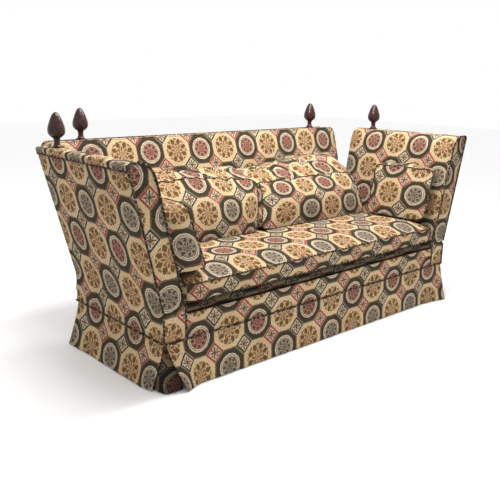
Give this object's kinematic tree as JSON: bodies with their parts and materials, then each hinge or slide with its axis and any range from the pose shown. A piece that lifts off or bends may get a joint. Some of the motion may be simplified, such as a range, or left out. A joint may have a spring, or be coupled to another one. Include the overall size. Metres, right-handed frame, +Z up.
{
  "type": "knole sofa",
  "caption": "High-backed upholstered settee with raked arms that let down on hinges, turned finials, a corner-pleated skirt and loose cushions.",
  "frame": {"origin": "centre of the overall bounding box, on the floor", "axes": "+X to the right of someone facing the sofa, +Y to its back, +Z up"},
  "size_m": [2.2058, 0.9798, 1.0693],
  "materials": {
    "tapestry": "flat-woven wool with a pattern of octagons and diamonds in cream, dark blue, red and teal",
    "tapestry_inset": "the same cloth, dark in the fold",
    "piping_cloth": "covered cord in the same cloth",
    "beech": "sawn and planed, bare",
    "mahogany": "turned, stained dark and polished",
    "jute": "woven jute webbing",
    "black_lining": "thin black bottom cloth",
    "steel": "plain rolled steel"
  },
  "bodies": {
    "base": {"front_rail": "beech", "rear_rail": "beech", "left_side_rail": "beech", "right_side_rail": "beech", "centre_rail": "beech", "leg_front_left": "beech", "leg_front_right": "beech", "leg_rear_left": "beech", "leg_rear_right": "beech", "seat_webbing": "jute", "seat_deck": "tapestry", "edge_roll": "tapestry", "bottom_lining": "black_lining", "front_border": "tapestry", "left_side_border": "tapestry", "right_side_border": "tapestry", "left_hinge_base_leaf": "steel", "right_hinge_base_leaf": "steel", "left_back_post": "beech", "right_back_post": "beech", "back_top_rail": "beech", "back_lower_rail": "beech", "back_front_pad": "tapestry", "outer_back": "tapestry", "back_top_strip": "tapestry", "left_back_end_strip": "tapestry", "right_back_end_strip": "tapestry", "back_front_piping": "piping_cloth", "back_rear_piping": "piping_cloth", "left_back_finial": "mahogany", "right_back_finial": "mahogany", "front_skirt": "tapestry", "left_skirt": "tapestry", "right_skirt": "tapestry", "rear_skirt": "tapestry", "left_corner_pleat": "tapestry_inset", "right_corner_pleat": "tapestry_inset", "base_piping": "piping_cloth"},
    "left_arm": {"left_arm_frame": "beech", "left_arm_outer_panel": "tapestry", "left_arm_inner_pad": "tapestry", "left_arm_top_strip": "tapestry", "left_arm_facing": "tapestry", "left_arm_piping": "piping_cloth", "left_arm_finial": "mahogany", "left_hinge_arm_leaf": "steel"},
    "right_arm": {"right_arm_frame": "beech", "right_arm_outer_panel": "tapestry", "right_arm_inner_pad": "tapestry", "right_arm_top_strip": "tapestry", "right_arm_facing": "tapestry", "right_arm_piping": "piping_cloth", "right_arm_finial": "mahogany", "right_hinge_arm_leaf": "steel"},
    "seat_cushion": {"seat_cushion": "tapestry"},
    "left_back_cushion": {"left_back_cushion": "tapestry"},
    "right_back_cushion": {"right_back_cushion": "tapestry"},
    "left_arm_cushion": {"left_arm_cushion": "tapestry"},
    "right_arm_cushion": {"right_arm_cushion": "tapestry"}
  },
  "joints": [
    {"name": "left_arm_hinge", "type": "hinge", "parent": "base", "child": "left_arm", "pos_m": [-0.944, 0, 0.338], "axis": [0, -1, 0], "range_deg": [0, 62]},
    {"name": "right_arm_hinge", "type": "hinge", "parent": "base", "child": "right_arm", "pos_m": [0.944, 0, 0.338], "axis": [0, 1, 0], "range_deg": [0, 62]},
    {"name": "seat_cushion_slide", "type": "slide", "parent": "base", "child": "seat_cushion", "axis": [0, -1, 0], "range_m": [0, 0.35]},
    {"name": "left_back_cushion_lift", "type": "slide", "parent": "base", "child": "left_back_cushion", "axis": [0, 0, 1], "range_m": [0, 0.4]},
    {"name": "right_back_cushion_lift", "type": "slide", "parent": "base", "child": "right_back_cushion", "axis": [0, 0, 1], "range_m": [0, 0.4]},
    {"name": "left_arm_cushion_lift", "type": "slide", "parent": "left_arm", "child": "left_arm_cushion", "axis": [0, 0, 1], "range_m": [0, 0.3]},
    {"name": "right_arm_cushion_lift", "type": "slide", "parent": "right_arm", "child": "right_arm_cushion", "axis": [0, 0, 1], "range_m": [0, 0.3]}
  ]
}
